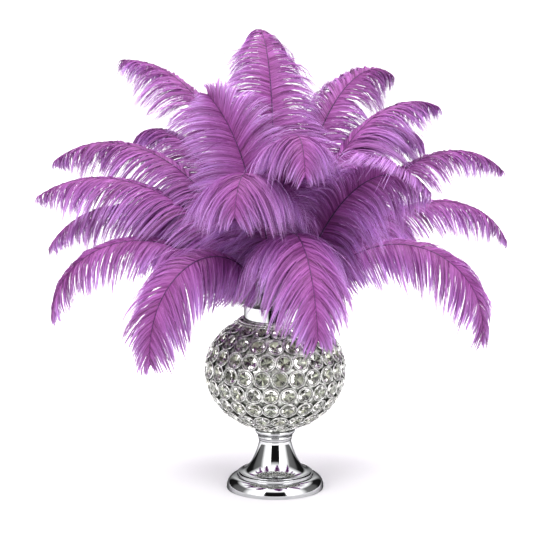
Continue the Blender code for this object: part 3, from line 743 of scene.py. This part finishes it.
def shaft(feather, sides=10, rings=44):
    """The quill and rachis: rings of points p + w cos a across + d sin a arched, w and d tapering
    towards the tip, closed by a point at each end. Gives the points, the walls and the ends as
    faces, and each point's share of the length."""
    share = np.linspace(0, 1, rings)
    point, along, across, arched = rachis(feather, share)
    taper = (1 - RACHIS_TAPER * share)[:, None, None]
    turn = (np.arange(sides) * 2 * np.pi / sides)[None, :, None]
    ring = QUILL_HALF_WIDTH * np.cos(turn) * across[:, None]
    ring = ring + QUILL_HALF_DEPTH * np.sin(turn) * arched[:, None]
    points = (point[:, None] + taper * ring).reshape(-1, 3)
    ends = [point[0] - 0.4 * MM * along[0], point[-1] + 1.5 * MM * along[-1]]
    here = np.arange(sides)
    after = (here + 1) % sides
    rows = np.arange(rings - 1)[:, None] * sides
    walls = np.stack([rows + here, rows + after, rows + sides + after, rows + sides + here], -1)
    last = (rings - 1) * sides
    low = np.stack([after, here, np.full(sides, len(points))], -1)
    high = np.stack([last + here, last + after, np.full(sides, len(points) + 1)], -1)
    shares = np.append(np.repeat(share, sides), [0.0, 1.0])
    return np.vstack([points, ends]), walls.reshape(-1, 4), np.vstack([low, high]), shares


def store(thing, **numbers):
    """Stores numbers on the mesh under each name, one number for each point."""
    for name, column in numbers.items():
        attribute = thing.data.attributes.new(name, "FLOAT", "POINT")
        attribute.data.foreach_set("value", column.astype(np.float32))


def read_value(tree, name):
    """The output that reads a number stored on the mesh."""
    node = tree.nodes.new("ShaderNodeAttribute")
    node.attribute_name = name
    return node.outputs["Fac"]


def ramp_of(tree, source, stops):
    """The colour that source has on a ramp of (position, colour) stops, from 0 to 1."""
    ramp = tree.nodes.new("ShaderNodeValToRGB")
    for position, colour in stops[1:-1]:
        ramp.color_ramp.elements.new(position)
    for stop, (position, colour) in zip(ramp.color_ramp.elements, stops):
        stop.position = position
        stop.color = [*colour, 1]
    tree.links.new(source, ramp.inputs["Fac"])
    return ramp.outputs["Color"]


def blended(tree, kind, amount, first, second):
    """Two colours mixed; amount is a number, or an output that gives it."""
    blend = tree.nodes.new("ShaderNodeMix")
    blend.data_type = "RGBA"
    blend.blend_type = kind
    if isinstance(amount, float):
        blend.inputs["Factor"].default_value = amount
    else:
        tree.links.new(amount, blend.inputs["Factor"])
    tree.links.new(first, blend.inputs["A"])
    tree.links.new(second, blend.inputs["B"])
    return blend.outputs["Result"]


plume, tree, shader = finish_of("orchid dyed barbs", (0.4, 0.13, 0.45), 0.55)
shader.inputs["Specular IOR Level"].default_value = 0.5
near_rachis = [(0, (0.36, 0.07, 0.36)), (0.35, (0.475, 0.15, 0.53))]
near_tip = [(0.75, (0.67, 0.35, 0.81)), (1, (0.55, 0.3, 0.66))]
dye = ramp_of(tree, read_value(tree, "passed"), near_rachis + near_tip)
# Painted light: tones under 0.6 darken the dye as painted shade, and tones over it lighten it past its own
# colour as painted highlight.
by_tint = [(0, (0.32, 0.15, 0.25)), (0.6, (0.92, 0.86, 0.88)), (1, (1.3, 1.55, 1.3))]
shade = ramp_of(tree, read_value(tree, "tint"), by_tint)
dyed = blended(tree, "MULTIPLY", 1.0, dye, shade)
undyed = ramp_of(tree, read_value(tree, "tint"), [(0, (0.03, 0.03, 0.03)), (1, (0.85, 0.84, 0.82))])
colour = blended(tree, "MIX", read_value(tree, "down"), dyed, undyed)
tree.links.new(colour, shader.inputs["Base Color"])
through = tree.nodes.new("ShaderNodeBsdfTranslucent")
tree.links.new(colour, through.inputs["Color"])
mixed = tree.nodes.new("ShaderNodeMixShader")
mixed.inputs["Fac"].default_value = LET_THROUGH
tree.links.new(shader.outputs["BSDF"], mixed.inputs[1])
tree.links.new(through.outputs["BSDF"], mixed.inputs[2])
tree.links.new(mixed.outputs["Shader"], tree.nodes["Material Output"].inputs["Surface"])

plum, tree, shader = finish_of("plum dyed rachis", (0.06, 0.012, 0.07), 0.55)
shader.inputs["Specular IOR Level"].default_value = 0.25
stem_dye = mottled(tree, 200, 3, (0.04, 0.008, 0.05), (0.1, 0.025, 0.12))
bare_quill = mottled(tree, 200, 3, (0.5, 0.47, 0.42), (0.62, 0.6, 0.55))
stem_colour = blended(tree, "MIX", read_value(tree, "down"), stem_dye, bare_quill)
tree.links.new(stem_colour, shader.inputs["Base Color"])

for number, feather in enumerate(FEATHERS):
    chance = np.random.default_rng(seed=40 + number)
    points, walls, ends, shares = shaft(feather)
    quads, tips = [walls], [ends]
    columns = [[points], [0 * shares], [0 * shares], [1 - eased(0.08, 0.16, shares)]]
    start = len(points)
    for side in (1, -1):
        ribbons, *numbers = plumage(feather, side, chance)
        more_quads, more_tips = ribbon_faces(len(ribbons), BARB_STEPS, start)
        quads.append(more_quads)
        tips.append(more_tips)
        start += ribbons.shape[0] * ribbons.shape[1]
        for column, extra in zip(columns, (ribbons.reshape(-1, 3), *map(np.ravel, numbers))):
            column.append(extra)
    points, passed, tint, down = (np.concatenate(column) for column in columns)
    quads, tips = np.vstack(quads), np.vstack(tips)
    name = feather.name.replace("feather", "plume")
    thing = piece(name, points, [quads, tips], plume, feather.name)
    store(thing, passed=passed, tint=tint, down=down)
    thing.data.materials.append(plum)
    on_shaft = np.zeros(len(quads) + len(tips), np.int32)
    on_shaft[: len(walls)] = 1
    on_shaft[len(quads) : len(quads) + len(ends)] = 1
    thing.data.polygons.foreach_set("material_index", on_shaft)


# ---------------------------------------------------------------- down at the neck
# Grey and white down is tucked in round the quills, to hide the foam. It fluffs out in short soft
# hairs that rise from the foam and bend outwards over the collar's rim.

HAIRS = 900
HAIR_STEPS = 6
HAIR_HALF_WIDTH = 0.24 * MM
HAIR_ROOTS = 196.3 * MM  # height, just over the foam's top

# The roots lie 12 to 27.5 mm from the axis. A hair is 9 to 21 mm long, starts upright or leaning up
# to 20 degrees outwards, and leans 30 to 115 degrees further by its tip.
chance = np.random.default_rng(seed=11)
turn = chance.uniform(0, 2 * np.pi, HAIRS)[:, None]
outward = np.stack([np.cos(turn), np.sin(turn), 0 * turn], -1)
sideways = np.stack([-np.sin(turn), np.cos(turn), 0 * turn], -1)
upright = np.array([0, 0, 1.0])
root = chance.uniform(12, 27.5, HAIRS)[:, None, None] * MM * outward + HAIR_ROOTS * upright
size = chance.uniform(9, 21, HAIRS)[:, None] * MM
u = (np.arange(HAIR_STEPS) / HAIR_STEPS)[None]
lean = np.radians(chance.uniform(0, 20, HAIRS)[:, None] + chance.uniform(30, 115, HAIRS)[:, None] * u)
drift = 0.35 * chance.standard_normal(HAIRS)[:, None, None] * sideways
steps = np.sin(lean)[..., None] * outward + np.cos(lean)[..., None] * upright + drift * u[..., None]
steps *= size[..., None] / HAIR_STEPS
curve = root + np.concatenate([np.zeros_like(steps[:, :1]), np.cumsum(steps, axis=1)], axis=1)
thinning = 1 - 0.8 * np.arange(HAIR_STEPS + 1) / HAIR_STEPS
edge = sideways * (HAIR_HALF_WIDTH * thinning)[None, :, None]
corners = ribbon_corners(curve, edge)
faces = ribbon_faces(HAIRS, HAIR_STEPS)
fluff = piece("neck_down", corners.reshape(-1, 3), faces, plume, None)
tint = np.repeat(chance.uniform(-0.2, 1.1, HAIRS), corners.shape[1])
store(fluff, passed=0 * tint, tint=tint, down=0 * tint + 1)


# ---------------------------------------------------------------- floor, light and camera
# A plain pale floor that ends in front of the vase, as a table does, so that the chrome mirrors the
# dark room there. Two soft lamps stand in front with a gap between them, and one hangs overhead. The
# room's walls and ceiling are the world's colour.

FLOOR_FRONT = -0.42
FLOOR_BACK = 9
FLOOR_SIDE = 6

floor_mesh = bpy.data.meshes.new("pale_floor")
front_edge = [(-FLOOR_SIDE, FLOOR_FRONT, 0), (FLOOR_SIDE, FLOOR_FRONT, 0)]
back_edge = [(FLOOR_SIDE, FLOOR_BACK, 0), (-FLOOR_SIDE, FLOOR_BACK, 0)]
floor_mesh.from_pydata(front_edge + back_edge, [], [(0, 1, 2, 3)])
floor = bpy.data.objects.new("pale_floor", floor_mesh)
bpy.context.scene.collection.objects.link(floor)
floor_paint, tree, shader = finish_of("pale floor", (0.92, 0.92, 0.93), 0.6)
shader.inputs["Specular IOR Level"].default_value = 0.0
floor_mesh.materials.append(floor_paint)


def lamp(name, place, target, size, power):
    """A soft square lamp at place, facing target."""
    light = bpy.data.lights.new(name, "AREA")
    light.shape = "RECTANGLE"
    light.size, light.size_y = size
    light.energy = power
    thing = bpy.data.objects.new(name, light)
    thing.location = place
    away = Vector(place) - Vector(target)
    thing.rotation_euler = away.to_track_quat("Z", "Y").to_euler()
    bpy.context.scene.collection.objects.link(thing)


lamp("left_lamp", place=(-1.5, -1.7, 1.0), target=(0, 0, 0.25), size=(1.2, 1.6), power=21)
lamp("right_lamp", place=(1.5, -1.7, 1.0), target=(0, 0, 0.25), size=(1.2, 1.6), power=18)
lamp("top_lamp", place=(0, 0.3, 2.4), target=(0, 0, 0.2), size=(2.0, 2.0), power=54)

world = bpy.data.worlds.new("studio")
bpy.context.scene.world = world
world.use_nodes = True
sky = world.node_tree


def worked_out(operation, *values):
    """The output of a math node; the values are numbers, or outputs that give them."""
    node = sky.nodes.new("ShaderNodeMath")
    node.operation = operation
    for socket, value in zip(node.inputs, values):
        if isinstance(value, float):
            socket.default_value = value
        else:
            sky.links.new(value, socket)
    return node.outputs["Value"]


def grey_ramp(source, *stops):
    """The grey that source has on a ramp of (position, grey) stops."""
    return ramp_of(sky, source, [(position, (grey, grey, grey)) for position, grey in stops])


# The walls' greys run round the room from straight in front, at 0, to straight behind, at 1.
direction = sky.nodes.new("ShaderNodeTexCoord")
parts = sky.nodes.new("ShaderNodeSeparateXYZ")
sky.links.new(direction.outputs["Generated"], parts.inputs["Vector"])
turn = worked_out("ARCTAN2", parts.outputs["X"], worked_out("MULTIPLY", parts.outputs["Y"], -1.0))
round_room = worked_out("DIVIDE", worked_out("ABSOLUTE", turn), np.pi)
front = [(0, 0.006), (0.13, 0.006), (0.17, 0.95), (0.37, 0.95), (0.46, 0.14)]
back = [(0.64, 0.1), (0.7, 0.01), (0.84, 0.01), (0.9, 0.9), (1, 0.9)]
walls = grey_ramp(round_room, *front, *back)
ceiling = grey_ramp(parts.outputs["Z"], (0, 0.0), (0.54, 0.0), (0.7, 1.0), (1, 1.0))
sky.links.new(blended(sky, "LIGHTEN", 1.0, walls, ceiling), sky.nodes["Background"].inputs["Color"])
sky.nodes["Background"].inputs["Strength"].default_value = 1.9

# The camera stands well back in front of the vase and looks down on it a little.
DISTANCE = 3.0
TARGET = (-0.0092, 0, 0.2397)
ELEVATION = np.radians(11.5)
camera_data = bpy.data.cameras.new("camera")
camera_data.lens = 193
camera_data.sensor_width = 36
camera = bpy.data.objects.new("camera", camera_data)
camera.location = (TARGET[0], -DISTANCE * np.cos(ELEVATION), TARGET[2] + DISTANCE * np.sin(ELEVATION))
camera.rotation_euler = (np.pi / 2 - ELEVATION, 0, 0)
bpy.context.scene.collection.objects.link(camera)
bpy.context.scene.camera = camera
bpy.context.scene.view_settings.view_transform = "Standard"
